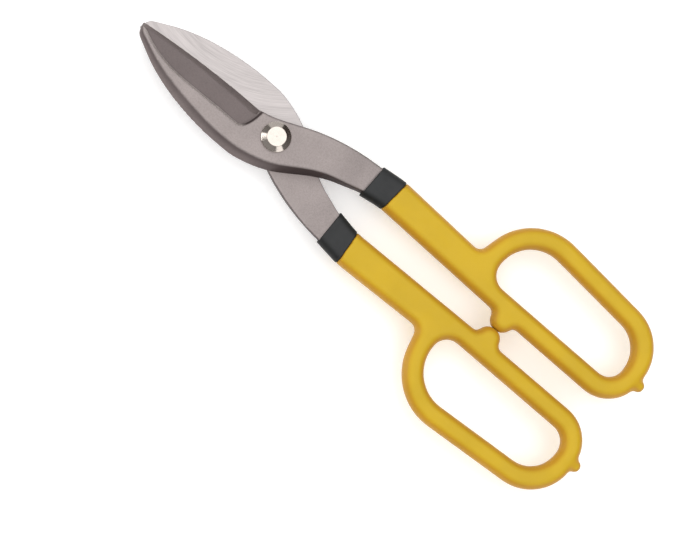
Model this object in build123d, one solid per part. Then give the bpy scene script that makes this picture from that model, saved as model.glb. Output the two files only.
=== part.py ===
"""Straight-pattern tinner's snips: two forged halves on one pivot bolt, with dipped vinyl grips.

Millimetres. The origin is on the pivot axis, at the bolt's back end. +X runs to the blade tips,
+Z towards the bolt's head, and the front half's handle is on the -Y side. The snips are shut.

Each half is modelled with the plane where the blades meet at z = 0, and the back half is the front
half turned half a turn about X, because both come from the same forging.
"""
import os
from math import atan2, degrees, radians, tan

from build123d import *

# Forging
HALF_THICKNESS = 7.8          # at the pivot
TIP_THICKNESS = 4.8           # at the blade's tip
HANDLE_THICKNESS = 8.0        # of the steel under the vinyl
SHANK_END_THICKNESS = 7.2     # where the shank runs under the collar
OUTER_RIM_Z = 3.0             # every edge of the outer face is above this
BLADE_GAP = 0.1               # between the two ground faces
EDGE_ROUNDING = 1.2           # along the outer face of the blade and shank
TIP_X = 83.8
HEEL_X = 13.5                 # where the cutting edge starts
THINNING_X = 8.0              # where the blade starts to thin towards its tip
BLEND_X = -24.0               # the shank's outer face steps down behind this
STEP_X = -34.0                # the shank's inner face steps down behind this
NOSE_RISE = 2.2               # how far over the edge the arc of the blade's nose passes
SHANK_END_X = -53.0           # where the shank becomes the handle, under the collar
CORE_END_X = -51.0            # the rounded steel inside the grip ends here, inside the shank

# The forging's outline at the ground face, and DRAFT_TOP above it. The spine side leans in.
DRAFT_TOP = 8.4
SPINE_LOW = [(-53, -8.7), (-42, -5.3), (-30, -0.4), (-18, 7.2), (-5, 15.2), (7, 19.1), (20, 20.2)]
SPINE_HIGH = [(-53, -9.6), (-42, -6.9), (-30, -2.7), (-18, 3.6), (-5, 11.3), (7, 14.9), (20, 15.8)]
BACK_LOW = [(20, 20.2), (40, 18.8), (57, 15.3), (71, 10.1), (79, 6.0), (82.4, 3.4)]
BACK_HIGH = [(20, 15.8), (40, 13.5), (57, 10.0), (71, 5.4), (78, 2.5), (81.0, 0.9)]
EDGE_LOW = [(TIP_X, -1.6), (48, -5.1), (HEEL_X, -5.95)]
EDGE_HIGH = [(81.6, -1.2), (48, -4.5), (HEEL_X, -4.9)]
BELLY_LOW = [(HEEL_X, -5.95), (8, -7.0), (-10, -14.4), (-30, -20.6), (-53, -23.7)]
BELLY_HIGH = [(HEEL_X, -4.9), (8, -6.3), (-10, -14.0), (-30, -20.2), (-53, -23.3)]

# Recess in the blade's outer face, and the bevel between it and the cutting edge
RECESS_HEEL_FLOOR = 4.9       # height of the floor over the ground face, at the heel
RECESS_TIP_FLOOR = 3.0
RECESS_WALL_LEAN = 27         # degrees off square
RECESS_CUT = 5.0              # how far the cut reaches over the floor, past the outer face
RECESS_END_X = 92.0           # the cut runs out past the tip and the cutting edge
RECESS_EDGE_Y = -9.0
RECESS_NOSE_Y = -1.6
RIB_FOOT = [(18.2, 6.7), (40, 7.0), (58, 7.0), (72, 4.3), (79, 1.4), (86, -2.4)]
HEEL_FOOT = [(13.4, -9.0), (13.6, -3.0), (15.0, 3.0)]
EDGE_LAND = 0.35              # height of the square land over the cutting edge
BEVEL_REACH = 4.0             # how far the wheel reaches past the edge
# The bevel: x, the cutting edge's y there, and degrees of lean
BEVEL_SECTIONS = [(14.3, -5.95, 43), (48, -5.1, 40), (86, -1.4, 36)]

# The handle over its vinyl, seen from the front: x, y and the rounding of each corner
HANDLE_CORNERS = [
    (-45.0, -5.6, 0),
    (-60.5, -8.35, 40),
    (-142.8, -6.5, 0),
    (-215.8, -6.2, 19.8),
    (-215.8, -52.4, 25),
    (-121.3, -59.7, 31),
    (-112.4, -24.3, 4.5),
    (-62.0, -26.3, 40),
    (-45.0, -24.2, 0),
]
LOOP_CORNERS = [
    (-205.2, -17.4, 9),
    (-205.2, -42.2, 16),
    (-124.5, -48.1, 20),
    (-124.5, -17.4, 8.6),
]
VINYL = 1.4                   # thickness of the dipped coat
GRIP_ROUNDING = 4.9
COLLAR_START_X = -62.5
COLLAR_END_X = -49.5
COLLAR_START_SLANT = 5        # degrees, of the collar's two ends
COLLAR_END_SLANT = 1
BACK_COAT_SHIFT = 1.6         # the back half was dipped this much deeper
COLLAR_MIDDLE_Y = -17.0
STOP_X = -142.8               # the bumps that meet when the snips are shut
STOP_RADIUS = 6.2
STOP_FOOT_ROUNDING = 3.2
STOP_FOOT_Y = -8.0            # the corners at each bump's foot are above this
STOP_SQUASH = 0.3             # how far each bump is flattened by the other
STOP_GAP = 0.2
DRIP_LENGTH = 3.6             # the drip that dipping leaves at the loop's end
DRIP_ROOT = 1.2               # how deep it is rooted in the coat
DRIP_RADIUS = 4.3
DRIP_Y = -25.5

# Pivot
BOLT_RADIUS = 4.5
RUNNING_CLEARANCE = 0.05
HEAD_RADIUS = 7.4
HEAD_RIM = 0.9
HEAD_TOP_RADIUS = 4.6
HEAD_HEIGHT = 2.8
DIMPLE_RADIUS = 1.2
DIMPLE_DEPTH = 0.15
THREAD_RADIUS = 4.0
WASHER_THICKNESS = 1.8
WASHER_RADIUS = 6.8
WASHER_SLIT = 1.3
SLIT_LEAN = 30                # degrees off square
SLIT_TURN = 200               # degrees round the pivot
NUT_ACROSS_FLATS = 13.0
NUT_HEIGHT = 5.0
CHAMFER = 0.6

CONTACT_Z = HALF_THICKNESS + WASHER_THICKNESS + NUT_HEIGHT
REACH = 120                   # longer than anything that is cut


def rounded_outline(corners):
    """A flat face with straight sides and rounded corners."""
    face = make_face(Polyline(*[(x, y) for x, y, radius in corners], close=True))
    for x, y, radius in corners:
        if radius:
            corner = face.vertices().sort_by_distance((x, y, 0))[0]
            face = fillet(corner, radius)
    return face


def handle_outline():
    """The whole handle seen from the front, with its stop bump and its finger loop."""
    handle = rounded_outline(HANDLE_CORNERS)
    handle = handle + Pos(STOP_X, STOP_SQUASH - STOP_RADIUS) * Circle(STOP_RADIUS)
    foot = [v for v in handle.vertices() if abs(v.X - STOP_X) < STOP_RADIUS + 1 and v.Y > STOP_FOOT_Y]
    return fillet(foot, STOP_FOOT_ROUNDING) - rounded_outline(LOOP_CORNERS)


def rounded_bar(outline, thickness, rounding):
    """A bar of this outline, centred on z = 0, with all its long edges rounded."""
    bar = Pos(0, 0, -thickness / 2) * extrude(outline, thickness)
    end_x = bar.bounding_box().max.X
    long_edges = [e for e in bar.faces().filter_by(Axis.Z).edges() if e.center().X < end_x - 0.01]
    return fillet(long_edges, rounding)


def side_profile():
    """The forging seen from the side: the blade thins to its tip, and the shank steps to the middle."""
    half = SHANK_END_THICKNESS / 2
    low = BLADE_GAP / 2
    end_x = TIP_X + 1
    top = Spline((SHANK_END_X, half), (BLEND_X, HALF_THICKNESS), tangents=[(1, 0), (1, 0)])
    blade_points = [(THINNING_X, HALF_THICKNESS), (end_x, TIP_THICKNESS), (end_x, low), (STEP_X, low)]
    blade = Polyline(top @ 1, *blade_points)
    step = Spline((STEP_X, low), (SHANK_END_X, -half), tangents=[(-1, 0), (-1, 0)])
    end = Line(step @ 1, top @ 0)
    face = Plane.XZ * make_face(Curve() + [top, blade, step, end])
    return extrude(Pos(0, REACH / 2, 0) * face, REACH)


def forging_outline(spine, back, edge, belly):
    """One level of the forging: its spine, the blade's back and nose, the cutting edge and the belly."""
    spine_curve = Spline(*spine, tangents=[(1, 0.12), (1, 0)])
    back_curve = Spline(*back, tangents=[(1, 0), (0.6, -1)])
    nose = ThreePointArc(back[-1], ((back[-1][0] + 2 * edge[0][0]) / 3, edge[0][1] + NOSE_RISE), edge[0])
    end = Line(belly[-1], spine[0])
    return make_face(Curve() + [spine_curve, back_curve, nose, ThreePointArc(*edge), Spline(*belly), end])


def forging_blank():
    """The blade, boss and shank before the recess is pressed and the edge ground."""
    low = forging_outline(SPINE_LOW, BACK_LOW, EDGE_LOW, BELLY_LOW)
    high = forging_outline(SPINE_HIGH, BACK_HIGH, EDGE_HIGH, BELLY_HIGH)
    blank = loft([low, Pos(0, 0, DRAFT_TOP) * high], ruled=True) + extrude(low, -HANDLE_THICKNESS)
    blank = blank & side_profile()
    curves = blank.edges().filter_by(GeomType.LINE, reverse=True)
    return fillet([e for e in curves if e.bounding_box().min.Z > OUTER_RIM_Z], EDGE_ROUNDING)


def recess_plan(shift):
    """The recess seen from the front, with its heel and rib walls moved back by shift."""
    rib = Spline(*[(x, y + shift) for x, y in RIB_FOOT], tangents=[(1, 0), (1, -0.6)])
    heel = Spline(*[(x - shift, y) for x, y in HEEL_FOOT], rib @ 0, tangents=[(0, 1), (1, 0.3)])
    rest = Polyline(rib @ 1, (RECESS_END_X, RECESS_NOSE_Y + shift), (RECESS_END_X, RECESS_EDGE_Y), heel @ 0)
    return make_face(Curve() + [rib, heel, rest])


def recess():
    """What is pressed out of the blade's outer face; its floor slopes down to the tip."""
    shift = RECESS_CUT * tan(radians(RECESS_WALL_LEAN))
    pocket = loft([recess_plan(0), Pos(0, 0, RECESS_CUT) * recess_plan(shift)], ruled=True)
    slope = degrees(atan2(RECESS_HEEL_FLOOR - RECESS_TIP_FLOOR, TIP_X - HEEL_X))
    return Pos(HEEL_X, 0, RECESS_HEEL_FLOOR) * Rot(0, slope, 0) * Pos(-HEEL_X, 0, 0) * pocket


def bevel():
    """What the grinding wheel takes off above the cutting edge."""
    sections = []
    top = EDGE_LAND + HALF_THICKNESS
    for x, y, lean in BEVEL_SECTIONS:
        run = HALF_THICKNESS * tan(radians(lean))
        outside = y - BEVEL_REACH
        corners = [(y, EDGE_LAND), (y + run, top), (outside, top), (outside, EDGE_LAND)]
        across = Plane((x, 0, 0), x_dir=(0, 1, 0), z_dir=(1, 0, 0))
        sections.append(across * make_face(Polyline(*corners, close=True)))
    return loft(sections)


def forged_half():
    """One half: blade, boss, shank and the steel inside the grip, with the bore for the bolt."""
    blade = forging_blank() - recess() - bevel()
    core = rounded_bar(offset(handle_outline(), -VINYL), HANDLE_THICKNESS, GRIP_ROUNDING - VINYL)
    core = split(core, end_plane(CORE_END_X, COLLAR_END_SLANT), Keep.BOTTOM)
    bore = Pos(0, 0, -1) * extrude(Circle(BOLT_RADIUS + RUNNING_CLEARANCE), HALF_THICKNESS + 2)
    return blade + core - bore


def end_plane(x, slant):
    """The slanted plane across the handle where a coat ends; it faces the blade."""
    return Plane(origin=(x, COLLAR_MIDDLE_Y, 0), z_dir=(1, -tan(radians(slant)), 0))


def drip():
    """The rounded drip that stands out of the loop's end."""
    points = [(DRIP_RADIUS, -DRIP_ROOT), (3.4, 0.5), (2.4, 2.6), (0, DRIP_LENGTH)]
    flank = Spline(*points, tangents=[(-1, 0.5), (-1, 0)])
    base = Polyline(flank @ 1, (0, -DRIP_ROOT), flank @ 0)
    shape = revolve(Plane.XZ * make_face(Curve() + [flank, base]), Axis.Z)
    return Pos(HANDLE_CORNERS[3][0], DRIP_Y, 0) * Rot(0, -90, 0) * shape


def coats(steel, shift):
    """The grip and the collar: one coat around the steel, which stops short of the pivot."""
    start = end_plane(COLLAR_START_X + shift, COLLAR_START_SLANT)
    end = end_plane(COLLAR_END_X + shift, COLLAR_END_SLANT)
    coat = rounded_bar(handle_outline(), HANDLE_THICKNESS + 2 * VINYL, GRIP_ROUNDING)
    coat = coat - Pos(STOP_X, REACH / 2 - STOP_GAP / 2, 0) * Box(REACH, REACH, REACH) - steel
    coat = split(coat, end, Keep.BOTTOM)
    grip = split(coat, start, Keep.BOTTOM) + drip()
    collar = split(coat, start, Keep.TOP)
    return grip, collar


def pivot_bolt():
    """Round polished head, plain shank through both halves, and a thread for the nut."""
    back_end = -CONTACT_Z
    seat = HALF_THICKNESS + RUNNING_CLEARANCE
    rim = seat + HEAD_RIM
    top = seat + HEAD_HEIGHT
    shoulder = -HALF_THICKNESS
    profile = Polyline(
        (0, back_end),
        (THREAD_RADIUS - CHAMFER, back_end),
        (THREAD_RADIUS, back_end + CHAMFER),
        (THREAD_RADIUS, shoulder),
        (BOLT_RADIUS, shoulder),
        (BOLT_RADIUS, seat),
        (HEAD_RADIUS, seat),
        (HEAD_RADIUS, rim),
        (HEAD_TOP_RADIUS, top),
        (DIMPLE_RADIUS, top),
        (0, top - DIMPLE_DEPTH),
        close=True,
    )
    return revolve(Plane.XZ * make_face(profile), Axis.Z)


def lock_washer():
    """A split ring between the back half and the nut."""
    ring = Circle(WASHER_RADIUS) - Circle(THREAD_RADIUS)
    cutter = Rot(SLIT_LEAN, 0, 0) * Box(WASHER_RADIUS, WASHER_SLIT, REACH)
    slit = Pos(WASHER_RADIUS, 0, WASHER_THICKNESS / 2) * cutter
    washer = extrude(ring, WASHER_THICKNESS) - slit
    return Pos(0, 0, -HALF_THICKNESS - WASHER_THICKNESS) * Rot(0, 0, SLIT_TURN) * washer


def pivot_nut():
    """A hexagon nut with both faces chamfered, flush with the bolt's end."""
    corner_radius = NUT_ACROSS_FLATS / 3 ** 0.5
    flat_radius = NUT_ACROSS_FLATS / 2
    hexagon = extrude(RegularPolygon(corner_radius, 6), NUT_HEIGHT)
    turned = Polyline(
        (0, 0),
        (flat_radius, 0),
        (corner_radius, CHAMFER),
        (corner_radius, NUT_HEIGHT - CHAMFER),
        (flat_radius, NUT_HEIGHT),
        (0, NUT_HEIGHT),
        close=True,
    )
    body = hexagon & revolve(Plane.XZ * make_face(turned), Axis.Z)
    bore = extrude(Circle(THREAD_RADIUS), NUT_HEIGHT)
    standing = (Align.CENTER, Align.CENTER, Align.MIN)
    mouth = Cone(THREAD_RADIUS + CHAMFER, THREAD_RADIUS, CHAMFER, align=standing)
    return Pos(0, 0, -CONTACT_Z) * (body - bore - mouth)


def main():
    steel = forged_half()
    front_grip, front_collar = coats(steel, 0)
    back_grip, back_collar = coats(steel, BACK_COAT_SHIFT)
    to_front = Pos(0, 0, CONTACT_Z)
    to_back = Pos(0, 0, CONTACT_Z) * Rot(180, 0, 0)
    nodes = {
        "front_half": to_front * steel,
        "front_collar": to_front * front_collar,
        "front_grip": to_front * front_grip,
        "back_half": to_back * steel,
        "back_collar": to_back * back_collar,
        "back_grip": to_back * back_grip,
        "pivot_bolt": to_front * pivot_bolt(),
        "lock_washer": to_front * lock_washer(),
        "pivot_nut": to_front * pivot_nut(),
    }
    os.makedirs("parts", exist_ok=True)
    for name, solid in nodes.items():
        export_step(solid, f"parts/{name}.step")


main()
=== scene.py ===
"""Looks for the tinner's snips: blasted forged steel, ground blade faces, a polished bolt and dipped vinyl.

Metres, in the row frame. Each half has "half coordinates": the row frame with z counted from the plane
where the blades meet, and for the back half turned half a turn about X, so both halves read alike.
"""

from math import cos, radians, sin

import bmesh
import bpy
from mathutils import Matrix, Vector
from mathutils.bvhtree import BVHTree


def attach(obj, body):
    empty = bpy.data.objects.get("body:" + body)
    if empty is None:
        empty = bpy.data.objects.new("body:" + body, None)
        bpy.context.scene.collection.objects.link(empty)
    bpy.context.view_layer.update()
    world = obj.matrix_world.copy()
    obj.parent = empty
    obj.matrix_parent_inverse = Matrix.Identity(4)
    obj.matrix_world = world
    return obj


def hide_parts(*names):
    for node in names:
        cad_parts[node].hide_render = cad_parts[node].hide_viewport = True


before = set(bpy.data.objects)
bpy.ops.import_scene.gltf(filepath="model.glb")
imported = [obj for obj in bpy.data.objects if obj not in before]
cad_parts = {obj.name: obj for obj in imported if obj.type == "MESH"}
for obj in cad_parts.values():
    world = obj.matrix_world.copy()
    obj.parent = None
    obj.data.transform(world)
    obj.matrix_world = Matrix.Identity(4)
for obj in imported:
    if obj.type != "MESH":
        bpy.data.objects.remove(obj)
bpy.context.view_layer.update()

MM = 0.001
CONTACT_Z = 14.6 * MM         # where the two blades meet
SIDES = {"front": 1, "back": -1}     # the way each half's outer side faces along Z

# Camera
CAMERA_PLACE = Vector((0.0352, 0.1747, 1.0240))
CAMERA_AIM = Vector((-0.0638, 0.0271, CONTACT_Z))
CAMERA_ROLL = 2.4318          # radians, about the line of sight
CAMERA_LENS = 112.7           # millimetres
CAMERA_SENSOR = 36            # millimetres across
CAMERA_CLIP = 0.02            # nothing nearer than this is seen

# Studio: a soft box overhead, and upright lamps as (degrees round from +X, width, watts)
BOX_PLACE = Vector((-0.06, -0.2, 1.45))
BOX_AIM = Vector((-0.06, 0, 0))
BOX_SIZE = 2.8
BOX_WATTS = 31
STRIPS = [(34, 0.55, 2.8), (152, 0.5, 1.1), (-56, 1.0, 0.9)]
STRIP_REACH = 0.9
STRIP_MIDDLE_Z = 0.24
STRIP_HEIGHT = 0.5
STRIP_AIM = Vector((0, 0, 0.02))
HORIZON = (0.06, 0.049, 0.045, 1.0)
SKY = (0.54, 0.535, 0.53, 1.0)
SKY_FROM = 0.2                # upward part of a direction where the sky starts to lighten
SKY_FULL = 0.75               # and where it is fully light
BACKDROP = (0.92, 0.92, 0.92, 1.0)   # what the camera sees past the edge of the floor
FLOOR_SIZE = 6.0
FLOOR_GLOW = 0.3              # the table is lit from below a little, so shadows on it stay faint

# Each piece is remeshed evenly, then smoothed: (voxel, rounds of smoothing)
STEEL_MESH = (0.36 * MM, 10)
GRIP_MESH = (0.6 * MM, 60)
COLLAR_MESH = (0.3 * MM, 4)
SMALL_MESH = (0.16 * MM, 2)
JOIN_DISTANCE = 0.002 * MM    # split corners of a CAD mesh that are nearer than this are one
COAT_WALL = 0.3 * MM          # faces of a coat nearer to the steel than this are its inside
SHANK_CUT_X = -56 * MM        # under the collar; the steel behind it is hidden
CRISP_Z = 0.6 * MM            # the ground face and the cutting edge stay crisp below this
SOFT_Z = 1.6 * MM
CRISP_WEIGHT = 0.5            # how much of the smoothing the crisp edges get

# The drip at the loop's end, in half coordinates
DRIP_Y = -25.5 * MM
DRIP_BASE_X = -215.8 * MM
DRIP_FLARE = 6.5 * MM         # how far round the drip the skin is drawn up
DRIP_NECK = 1.6 * MM          # how far up the drip its neck is filled
GRIP_WEIGHT = 0.2             # how much of the smoothing the grip gets away from the drip
DRIP_END_WEIGHT = 0.25        # and at the drip's end

# The recess and the ground face of each blade, in half coordinates
HEEL_X = 13.5 * MM
TIP_X = 83.6 * MM
WALL_MIDDLE_HEEL_Z = 6.35 * MM       # halfway up the recess wall, at the heel and at the tip
WALL_MIDDLE_TIP_Z = 3.9 * MM
RIB_LINE_Y = 3.0 * MM                # the rib lies beyond a line that crosses x = 0 here
RIB_LINE_SLOPE = -0.02               # and falls by this much of its length towards the tip
GRIND_CENTRE = (56 * MM, 76 * MM)    # the wheel's arcs across the ground face turn about this
BOSS_CENTRE = (3 * MM, 2.5 * MM)     # round the bolt, the ground face is a disc of this centre and radius
BOSS_RADIUS = 17.5 * MM

# Colours, in sRGB bytes
COLLAR_TOP = (46, 47, 48)
# Painted shade: the collar's sides get this darker copy of its top colour.
COLLAR_SIDE_SHADE = (28, 29, 29)
GRIP_TOP = (198, 163, 28)
# Painted shade: the grip's sides get this darker, more orange copy of its top colour.
GRIP_SIDE_SHADE = (188, 139, 33)
BOLT_STEEL = (204, 195, 187)
ZINC_DULL = (176, 178, 182)
ZINC_BRIGHT = (205, 204, 198)
FLOOR_WHITE = (244, 244, 244)


# ---------------------------------------------------------------- shader nodes

def linear(red, green, blue):
    """A colour given in sRGB bytes, as a shader wants it."""
    values = []
    for byte in (red, green, blue):
        part = byte / 255
        values.append(part / 12.92 if part <= 0.04045 else ((part + 0.055) / 1.055) ** 2.4)
    return (*values, 1.0)


class Shader:
    """One material's node tree, with short ways to add and link its nodes."""

    def __init__(self, name):
        self.material = bpy.data.materials.new(name)
        self.material.use_nodes = True
        self.tree = self.material.node_tree
        self.surface = self.tree.nodes["Principled BSDF"]

    def put(self, socket, value):
        """Links a node's output to a socket, or sets a plain value on it."""
        if isinstance(value, bpy.types.NodeSocket):
            self.tree.links.new(value, socket)
        else:
            socket.default_value = value

    def node(self, kind, inputs, **settings):
        """A new node with its settings made and its inputs linked or set."""
        new = self.tree.nodes.new(kind)
        for key, value in settings.items():
            setattr(new, key, value)
        for key, value in inputs.items():
            self.put(new.inputs[key], value)
        return new

    def math(self, operation, first, second=0.0, third=0.0):
        inputs = {0: first, 1: second, 2: third}
        return self.node("ShaderNodeMath", inputs, operation=operation).outputs[0]

    def both(self, first, second, *more):
        """The product of masks: 1 only where all of them are."""
        product = self.math("MULTIPLY", first, second)
        return self.both(product, *more) if more else product

    def ramp(self, value, low, high, low_out=0.0, high_out=1.0):
        """A smooth step from low_out to high_out as value goes from low to high."""
        inputs = {"Value": value, "From Min": low, "From Max": high, "To Min": low_out, "To Max": high_out}
        return self.node("ShaderNodeMapRange", inputs, interpolation_type="SMOOTHSTEP").outputs["Result"]

    def noise(self, place, size, detail=3.0, roughness=0.5):
        """Even noise whose blobs are about this size."""
        inputs = {"Vector": place, "Scale": 1 / size, "Detail": detail, "Roughness": roughness}
        return self.node("ShaderNodeTexNoise", inputs).outputs["Fac"]

    def mix(self, amount, first, second, blend="MIX"):
        """The first colour at amount 0, turning into the second at 1, or blended with it."""
        new = self.node("ShaderNodeMix", {}, data_type="RGBA", blend_type=blend)
        for key, value in ((0, amount), (6, first), (7, second)):
            self.put(new.inputs[key], value)
        return new.outputs[2]

    def shade(self, colour, value):
        """The colour made lighter or darker by a factor around 1."""
        grey = self.node("ShaderNodeCombineColor", {0: value, 1: value, 2: value}).outputs[0]
        return self.mix(1.0, colour, grey, "MULTIPLY")

    def around(self, place, centre):
        """Distance from, and angle round, an upright axis through a centre, for a place in three parts."""
        from_x = self.math("SUBTRACT", place[0], centre[0])
        from_y = self.math("SUBTRACT", place[1], centre[1])
        square = self.math("MULTIPLY_ADD", from_x, from_x, self.math("MULTIPLY", from_y, from_y))
        return self.math("SQRT", square), self.math("ARCTAN2", from_y, from_x)

    def bump(self, heights):
        """A normal from (height, metres) pairs, each laid over the one before."""
        normal = None
        for height, depth in heights:
            inputs = {"Height": height, "Distance": depth, "Strength": 1.0}
            if normal is not None:
                inputs["Normal"] = normal
            normal = self.node("ShaderNodeBump", inputs).outputs["Normal"]
        self.put(self.surface.inputs["Normal"], normal)

    def finish(self, colour, roughness, metallic=0.0):
        """Sets the surface's main values and gives the material back."""
        self.put(self.surface.inputs["Base Color"], colour)
        self.put(self.surface.inputs["Roughness"], roughness)
        self.put(self.surface.inputs["Metallic"], metallic)
        return self.material

    def half_place(self, side):
        """Place and normal in half coordinates, each as a vector and its three parts."""
        source = self.node("ShaderNodeTexCoord", {}).outputs
        flip = (1.0, side, side)
        shift = (0.0, 0.0, -side * CONTACT_Z)
        place = self.node("ShaderNodeMapping", {"Vector": source["Object"], "Scale": flip, "Location": shift})
        facing = self.node("ShaderNodeMapping", {"Vector": source["Normal"], "Scale": flip})
        parts = []
        for vector in (place.outputs[0], facing.outputs[0]):
            parts.append((vector, self.node("ShaderNodeSeparateXYZ", {0: vector}).outputs))
        return parts


# ---------------------------------------------------------------- materials

def grind_lines(shader, place):
    """Long thin arcs left by the grinding wheel on the flat of the blade."""
    radius, turn = shader.around(place, GRIND_CENTRE)
    along = shader.math("MULTIPLY", turn, 1.8 * MM)
    spread = shader.node("ShaderNodeCombineXYZ", {0: radius, 1: along, 2: place[2]}).outputs[0]
    fine = shader.noise(spread, 0.35 * MM, 4.0, 0.6)
    broad = shader.noise(spread, 1.6 * MM, 2.0)
    return fine, broad


def recess_masks(shader, at, facing):
    """Where the blade's outer side drops into its recess: side of the blade, floor, bevel and rib, where
    painted shade and a painted highlight go.
    """
    slope = (WALL_MIDDLE_TIP_Z - WALL_MIDDLE_HEEL_Z) / (TIP_X - HEEL_X)
    wall_middle = shader.math("MULTIPLY_ADD", at[0], slope, WALL_MIDDLE_HEEL_Z - slope * HEEL_X)
    below = shader.math("SUBTRACT", wall_middle, at[2])
    blade_side = shader.both(
        shader.ramp(below, -0.5 * MM, 4.0 * MM), shader.ramp(at[0], -15 * MM, 10 * MM)
    )
    on_blade = shader.ramp(at[0], HEEL_X - 0.5 * MM, HEEL_X + 0.5 * MM)
    above_edge = shader.ramp(at[2], 0.3 * MM, 0.6 * MM)
    in_recess = shader.both(shader.ramp(below, -0.4 * MM, 0.8 * MM), on_blade, above_edge)
    rib_line = shader.math("MULTIPLY_ADD", at[0], RIB_LINE_SLOPE, RIB_LINE_Y)
    near_side = shader.ramp(shader.math("SUBTRACT", rib_line, at[1]), 0.0, 0.8 * MM)
    far_side = shader.math("SUBTRACT", 1.0, near_side)
    tilted = shader.ramp(facing[1], -0.35, -0.7)
    # the recess floor, which is given painted shade
    floor = shader.both(in_recess, shader.ramp(facing[2], 0.7, 0.95))
    bevel_shade = shader.both(in_recess, near_side, tilted)
    rib_highlight = shader.both(on_blade, far_side, tilted)
    return blade_side, floor, bevel_shade, rib_highlight


def ground_mask(shader, at, facing):
    """The flat face that meets the other half, on the blade and round the bolt."""
    near_contact = shader.ramp(shader.math("ABSOLUTE", at[2]), 0.3 * MM, 0.12 * MM)
    inward = shader.ramp(facing[2], -0.6, -0.9)
    boss = shader.ramp(shader.around(at, BOSS_CENTRE)[0], BOSS_RADIUS, BOSS_RADIUS - 0.5 * MM)
    reached = shader.math("MAXIMUM", boss, shader.ramp(at[0], 0.0, 0.5 * MM))
    return shader.both(near_contact, inward, reached)


def forged_steel(side):
    """Blast-cleaned steel with a ground inner face and bevel; flanks, recess floor and bevel carry painted
    shade, the rib a painted highlight.
    """
    shader = Shader(f"forged_steel_{'front' if side > 0 else 'back'}")
    (place, at), (_, facing) = shader.half_place(side)

    blade_side, floor, bevel_shade, rib_highlight = recess_masks(shader, at, facing)
    # Painted shade: flanks and walls that turn from the overhead light get darker colours than the flat
    # faces.
    flank_shade = shader.mix(blade_side, linear(80, 69, 68), linear(116, 105, 104))
    flat = shader.ramp(shader.math("ABSOLUTE", facing[2]), 0.35, 0.98)
    colour = shader.mix(flat, flank_shade, linear(150, 141, 139))
    # Painted shade: the recess floor, tilted from the light, is painted darker.
    colour = shader.mix(floor, colour, linear(108, 99, 98))
    # Painted shade: the bevel along the cutting edge, tilted from the light, is painted darker.
    colour = shader.mix(bevel_shade, colour, linear(122, 112, 110))
    # Painted highlight: the rib's rounded rim, which catches the light, is painted lighter.
    colour = shader.mix(rib_highlight, colour, linear(190, 181, 178))

    ground = ground_mask(shader, at, facing)
    forged = shader.math("SUBTRACT", 1.0, ground)
    fine, broad = grind_lines(shader, at)
    streaks = shader.math(
        "ADD", shader.ramp(fine, 0.3, 0.7, -0.15, 0.15), shader.ramp(broad, 0.3, 0.7, 0.95, 1.05)
    )
    colour = shader.mix(ground, colour, shader.shade(linear(169, 163, 162), streaks))

    grain = shader.noise(place, 0.8 * MM, 4.0, 0.75)
    pits = shader.noise(place, 1.1 * MM, 2.0)
    cloud = shader.noise(place, 14 * MM, 3.0)
    mottle = shader.math(
        "ADD", shader.ramp(grain, 0.3, 0.7, -0.16, 0.16), shader.ramp(cloud, 0.3, 0.7, 0.95, 1.05)
    )
    colour = shader.mix(forged, colour, shader.shade(colour, mottle))
    # Pointiness: painted shade in concave creases; convex edges painted lighter, partly wear and partly a
    # painted highlight.
    edge_light_and_crease_shade = shader.node("ShaderNodeNewGeometry", {}).outputs["Pointiness"]
    colour = shader.shade(colour, shader.ramp(edge_light_and_crease_shade, 0.42, 0.58, 0.93, 1.15))

    blasted = shader.ramp(grain, 0.3, 0.7, 0.5, 0.64)
    polished = shader.ramp(fine, 0.3, 0.7, 0.3, 0.42)
    roughness = shader.node("ShaderNodeMix", {0: ground, 2: blasted, 3: polished}).outputs[0]
    shader.bump([
        (shader.both(pits, forged), 0.03 * MM),
        (shader.both(grain, forged), 0.03 * MM),
        (shader.both(fine, ground), 0.006 * MM),
    ])
    return shader.finish(colour, roughness, 0.8)


def vinyl(name, top, edge, side, roughness):
    """Dipped vinyl: painted darker on its sides as painted shade, with a faint orange-peel skin."""
    shader = Shader(name)
    (place, _), (_, facing) = shader.half_place(side)
    flat = shader.ramp(shader.math("ABSOLUTE", facing[2]), 0.7, 1.0)
    # Painted shade: faces turned from the overhead light take the darker edge colour.
    colour = shader.mix(flat, edge, top)
    cloud = shader.noise(place, 24 * MM, 3.0)
    peel = shader.noise(place, 2.6 * MM, 2.0)
    grain = shader.noise(place, 0.5 * MM, 3.0, 0.6)
    dust = shader.ramp(shader.noise(place, 0.9 * MM, 5.0, 0.7), 0.62, 0.72, 1.0, 0.93)
    mottle = shader.math("MULTIPLY", shader.ramp(cloud, 0.3, 0.7, 0.955, 1.045), dust)
    colour = shader.shade(colour, mottle)
    scuffs = shader.noise(place, 7 * MM, 4.0, 0.7)
    shader.bump([(peel, 0.05 * MM), (grain, 0.008 * MM)])
    shader.put(shader.surface.inputs["Specular IOR Level"], 0.25)
    scuffed = shader.ramp(scuffs, 0.4, 0.7, roughness, roughness + 0.14)
    return shader.finish(colour, shader.math("ADD", scuffed, shader.ramp(grain, 0.3, 0.7, 0.0, 0.05)))


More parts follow.
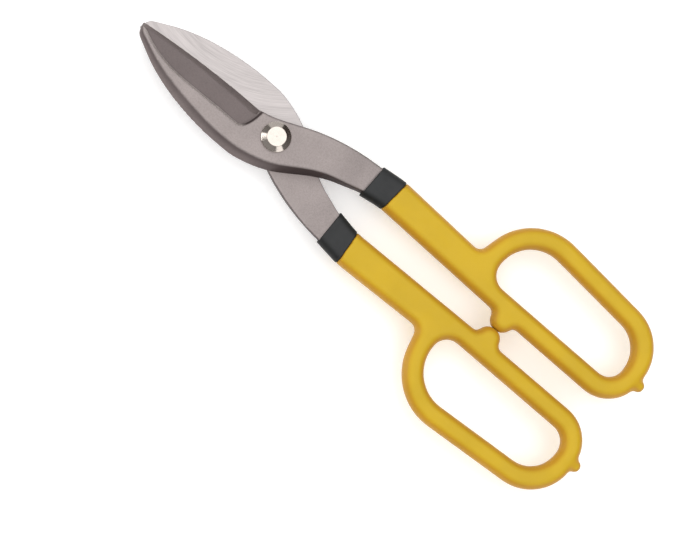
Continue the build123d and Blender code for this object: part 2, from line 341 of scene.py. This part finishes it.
def turned_steel():
    """Polished steel with faint rings from the lathe."""
    shader = Shader("polished_steel")
    (place, at), _ = shader.half_place(1)
    radius = shader.around(at, (0.0, 0.0))[0]
    spread = shader.node("ShaderNodeCombineXYZ", {0: radius, 1: at[2]}).outputs[0]
    rings = shader.noise(spread, 0.22 * MM, 3.0, 0.6)
    smudge = shader.noise(place, 3.5 * MM, 3.0)
    colour = shader.shade(linear(*BOLT_STEEL), shader.ramp(smudge, 0.3, 0.7, 0.95, 1.04))
    shadowed = shader.ramp(radius, 0.2 * MM, 0.7 * MM, 0.82, 1.0)
    colour = shader.shade(colour, shadowed)
    ringed = shader.ramp(rings, 0.3, 0.7, 0.1, 0.16)
    rough = shader.math("ADD", ringed, shader.ramp(smudge, 0.4, 0.7, 0.0, 0.06))
    shader.bump([(rings, 0.003 * MM)])
    return shader.finish(colour, rough, 1.0)


def zinc_plate():
    """Zinc-plated steel, a little cloudy, with fine scratches."""
    shader = Shader("plated_steel")
    (place, _), _ = shader.half_place(1)
    cloud = shader.noise(place, 2.2 * MM, 4.0, 0.6)
    grain = shader.noise(place, 0.3 * MM, 3.0)
    stretched = {"Vector": place, "Scale": (1.0, 0.12, 1.0), "Rotation": (0, 0, 0.6)}
    scratch = shader.noise(shader.node("ShaderNodeMapping", stretched).outputs[0], 0.25 * MM, 3.0, 0.7)
    colour = shader.mix(shader.ramp(cloud, 0.35, 0.65), linear(*ZINC_DULL), linear(*ZINC_BRIGHT))
    colour = shader.shade(colour, shader.ramp(scratch, 0.3, 0.7, 0.93, 1.05))
    clouded = shader.ramp(cloud, 0.3, 0.7, 0.26, 0.4)
    rough = shader.math("ADD", clouded, shader.ramp(grain, 0.3, 0.7, 0.0, 0.05))
    shader.bump([(scratch, 0.005 * MM), (grain, 0.006 * MM)])
    return shader.finish(colour, rough, 0.95)


def paper_floor():
    """A pale matte table top with a trace of tooth, lit faintly from below."""
    shader = Shader("floor_paper")
    place = shader.node("ShaderNodeTexCoord", {}).outputs["Object"]
    tooth = shader.noise(place, 3 * MM, 3.0)
    colour = shader.shade(linear(*FLOOR_WHITE), shader.ramp(tooth, 0.3, 0.7, 0.995, 1.005))
    shader.bump([(tooth, 0.02 * MM)])
    shader.put(shader.surface.inputs["Emission Color"], colour)
    shader.put(shader.surface.inputs["Emission Strength"], FLOOR_GLOW)
    return shader.finish(colour, shader.ramp(tooth, 0.3, 0.7, 0.8, 0.9))


# ---------------------------------------------------------------- shapes

def closed_copy(node):
    """A bmesh copy of a CAD node, with its split corners joined."""
    copy = bmesh.new()
    copy.from_mesh(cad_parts[node].data)
    bmesh.ops.remove_doubles(copy, verts=copy.verts, dist=JOIN_DISTANCE)
    return copy


def close_up(copy):
    """Fills every hole that is left open in a bmesh."""
    rims = [edge for edge in copy.edges if edge.is_boundary]
    bmesh.ops.holes_fill(copy, edges=rims, sides=0)
    bmesh.ops.triangulate(copy, faces=copy.faces)
    bmesh.ops.recalc_face_normals(copy, faces=copy.faces)


def drop_inside(copy, steel):
    """Takes away a coat's inner faces, which lie against the steel, and closes its mouth."""
    tree = BVHTree.FromBMesh(steel)
    inner = [f for f in copy.faces if tree.find_nearest(f.calc_center_median(), COAT_WALL)[0] is not None]
    bmesh.ops.delete(copy, geom=inner, context="FACES")
    close_up(copy)


def apply_modifiers(piece):
    """Puts the modifiers' result into the piece's own mesh."""
    graph = bpy.context.evaluated_depsgraph_get()
    made = bpy.data.meshes.new_from_object(piece.evaluated_get(graph))
    piece.modifiers.clear()
    piece.data = made


def even_mesh(name, copy, fineness, material, weights=None):
    """Turns a bmesh into an even, smooth-shaded piece."""
    voxel, rounds = fineness
    mesh = bpy.data.meshes.new(name)
    copy.to_mesh(mesh)
    copy.free()
    piece = bpy.data.objects.new(name, mesh)
    bpy.context.scene.collection.objects.link(piece)
    remesh = piece.modifiers.new("even", "REMESH")
    remesh.mode = "VOXEL"
    remesh.voxel_size = voxel
    remesh.use_smooth_shade = True
    apply_modifiers(piece)
    smooth = piece.modifiers.new("round", "SMOOTH")
    smooth.factor = 0.5
    smooth.iterations = rounds
    if weights:
        group = piece.vertex_groups.new(name="round")
        for vertex in piece.data.vertices:
            group.add([vertex.index], weights(vertex.co), "REPLACE")
        smooth.vertex_group = group.name
    apply_modifiers(piece)
    piece.data.materials.clear()
    piece.data.materials.append(material)
    return piece


def stand_for(piece, body, node):
    """Puts a piece on the body it rides on, and hides the CAD node that it takes the place of."""
    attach(piece, body)
    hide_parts(node)


def steel_half(body):
    """One forged half, without the steel inside its grip; forged corners are rounder than ground ones."""
    side = SIDES[body]
    copy = closed_copy(f"{body}_half")
    everything = copy.verts[:] + copy.edges[:] + copy.faces[:]
    bmesh.ops.bisect_plane(
        copy, geom=everything, plane_co=(SHANK_CUT_X, 0, 0), plane_no=(-1, 0, 0), clear_outer=True
    )
    close_up(copy)

    def softness(place):
        height = side * (place.z - CONTACT_Z)
        if place.x < 0 and height < -CRISP_Z:
            height = -height
        soft = min(max((height - CRISP_Z) / (SOFT_Z - CRISP_Z), 0.0), 1.0)
        return CRISP_WEIGHT + (1 - CRISP_WEIGHT) * soft

    piece = even_mesh(f"{body}_blade", copy, STEEL_MESH, forged_steel(side), softness)
    stand_for(piece, body, f"{body}_half")


def grip(body, material):
    """The dipped grip as one solid skin, with the drip at its end flowing into the loop."""
    steel = closed_copy(f"{body}_half")
    copy = closed_copy(f"{body}_grip")
    drop_inside(copy, steel)
    steel.free()
    side = SIDES[body]

    def softness(place):
        off_axis = Vector((0, side * place.y - DRIP_Y, place.z - CONTACT_Z)).length
        past_base = DRIP_BASE_X - place.x
        if off_axis > DRIP_FLARE or past_base < -DRIP_FLARE:
            return GRIP_WEIGHT
        return 1.0 if past_base < DRIP_NECK else DRIP_END_WEIGHT

    piece = even_mesh(f"{body}_grip_skin", copy, GRIP_MESH, material, softness)
    stand_for(piece, body, f"{body}_grip")


def collar(body, material):
    """The short sleeve in front of the grip, with rounded ends."""
    piece = even_mesh(f"{body}_collar_sleeve", closed_copy(f"{body}_collar"), COLLAR_MESH, material)
    stand_for(piece, body, f"{body}_collar")


def small_part(node, material):
    """The bolt, the nut or the washer, with slightly broken edges; they turn with the back half."""
    piece = even_mesh(f"{node}_piece", closed_copy(node), SMALL_MESH, material)
    stand_for(piece, "back", node)


# ---------------------------------------------------------------- stage

def stage_floor():
    """A wide table top for the snips to lie on."""
    bpy.ops.mesh.primitive_plane_add(size=FLOOR_SIZE, location=(0, 0, 0))
    floor = bpy.context.object
    floor.name = "floor"
    floor.data.materials.append(paper_floor())


def lamp(name, place, aim, size, watts):
    """A soft rectangular lamp that the camera doesn't see."""
    light = bpy.data.lights.new(name, "AREA")
    light.shape = "RECTANGLE"
    light.size, light.size_y = size
    light.energy = watts
    holder = bpy.data.objects.new(name, light)
    holder.location = place
    holder.rotation_euler = (aim - place).to_track_quat("-Z", "Y").to_euler()
    holder.visible_camera = False
    bpy.context.scene.collection.objects.link(holder)


def surroundings():
    """A sky that is dim at the horizon and lighter overhead, and a pale backdrop for the camera alone."""
    world = bpy.data.worlds.new("studio")
    world.use_nodes = True
    nodes, links = world.node_tree.nodes, world.node_tree.links
    direction = nodes.new("ShaderNodeSeparateXYZ")
    links.new(nodes.new("ShaderNodeTexCoord").outputs["Generated"], direction.inputs[0])
    rise = nodes.new("ShaderNodeMapRange")
    rise.inputs["From Min"].default_value = SKY_FROM
    rise.inputs["From Max"].default_value = SKY_FULL
    links.new(direction.outputs["Z"], rise.inputs["Value"])
    sky = nodes.new("ShaderNodeMix")
    sky.data_type = "RGBA"
    sky.inputs[6].default_value = HORIZON
    sky.inputs[7].default_value = SKY
    links.new(rise.outputs["Result"], sky.inputs[0])
    seen = nodes.new("ShaderNodeMix")
    seen.data_type = "RGBA"
    seen.inputs[7].default_value = BACKDROP
    links.new(sky.outputs[2], seen.inputs[6])
    links.new(nodes.new("ShaderNodeLightPath").outputs["Is Camera Ray"], seen.inputs[0])
    links.new(seen.outputs[2], nodes["Background"].inputs["Color"])
    bpy.context.scene.world = world


def stage_lights():
    """A large soft box overhead, and upright strips that the bolt reflects."""
    lamp("overhead", BOX_PLACE, BOX_AIM, (BOX_SIZE, BOX_SIZE), BOX_WATTS)
    for index, (turn, width, watts) in enumerate(STRIPS):
        foot = Vector((cos(radians(turn)), sin(radians(turn)), 0)) * STRIP_REACH
        middle = foot + Vector((0, 0, STRIP_MIDDLE_Z))
        lamp(f"strip_{index}", middle, STRIP_AIM, (width, STRIP_HEIGHT), watts)


def place_camera():
    """A long lens high over the snips, rolled about its line of sight."""
    camera = bpy.data.cameras.new("camera")
    camera.lens = CAMERA_LENS
    camera.sensor_width = CAMERA_SENSOR
    camera.clip_start = CAMERA_CLIP
    back = (CAMERA_PLACE - CAMERA_AIM).normalized()
    level = (Vector((1, 0, 0)) - back.x * back).normalized()
    across = back.cross(level)
    right = cos(CAMERA_ROLL) * level - sin(CAMERA_ROLL) * across
    up = sin(CAMERA_ROLL) * level + cos(CAMERA_ROLL) * across
    holder = bpy.data.objects.new("camera", camera)
    holder.matrix_world = Matrix((right, up, back)).transposed().to_4x4()
    holder.location = CAMERA_PLACE
    bpy.context.scene.collection.objects.link(holder)
    bpy.context.scene.camera = holder
    bpy.context.scene.view_settings.view_transform = "Standard"


def main():
    for body, side in SIDES.items():
        steel_half(body)
        collar(body, vinyl(f"collar_vinyl_{body}", linear(*COLLAR_TOP), linear(*COLLAR_SIDE_SHADE), side, 0.5))
        grip(body, vinyl(f"grip_vinyl_{body}", linear(*GRIP_TOP), linear(*GRIP_SIDE_SHADE), side, 0.36))
    small_part("pivot_bolt", turned_steel())
    small_part("lock_washer", zinc_plate())
    small_part("pivot_nut", zinc_plate())
    stage_floor()
    surroundings()
    stage_lights()
    place_camera()


main()
